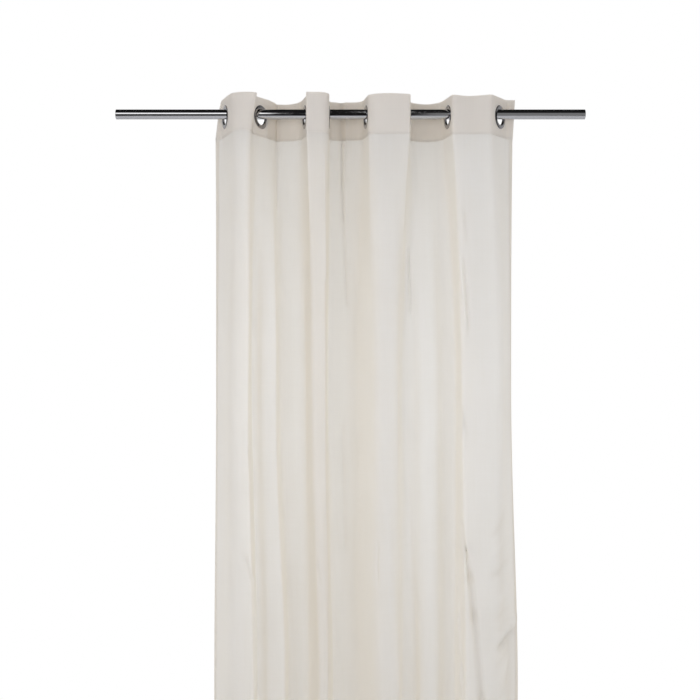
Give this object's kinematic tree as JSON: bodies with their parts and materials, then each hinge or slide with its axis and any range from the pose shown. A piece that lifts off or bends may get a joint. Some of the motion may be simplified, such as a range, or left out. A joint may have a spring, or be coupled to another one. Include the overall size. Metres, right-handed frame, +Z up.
{
  "type": "eyelet curtain panel on a rod",
  "caption": "Semi-sheer off-white curtain panel with an eyelet heading, hanging in uneven soft folds from a plain round metal rod.",
  "frame": {"origin": "on the rod's axis at the middle of its length", "axes": "+Z up, +X along the rod to the right for someone in front of the curtain, -Y is that front (the room side)"},
  "size_m": [1.2, 0.1432, 2.5021],
  "materials": {
    "rod_chrome": "polished chromed steel tube",
    "cloth": "plain-woven off-white linen and cotton, semi-sheer, unlined",
    "heading_cloth": "the same cloth turned over double, stiffened",
    "eyelet_chrome": "polished chromed metal"
  },
  "bodies": {
    "root": {"rod": "rod_chrome", "panel": "cloth", "heading_band": "heading_cloth", "eyelet_1_front": "eyelet_chrome", "eyelet_1_back": "eyelet_chrome", "eyelet_2_front": "eyelet_chrome", "eyelet_2_back": "eyelet_chrome", "eyelet_3_front": "eyelet_chrome", "eyelet_3_back": "eyelet_chrome", "eyelet_4_front": "eyelet_chrome", "eyelet_4_back": "eyelet_chrome", "eyelet_5_front": "eyelet_chrome", "eyelet_5_back": "eyelet_chrome", "eyelet_6_front": "eyelet_chrome", "eyelet_6_back": "eyelet_chrome", "eyelet_7_front": "eyelet_chrome", "eyelet_7_back": "eyelet_chrome", "eyelet_8_front": "eyelet_chrome", "eyelet_8_back": "eyelet_chrome"}
  },
  "joints": []
}
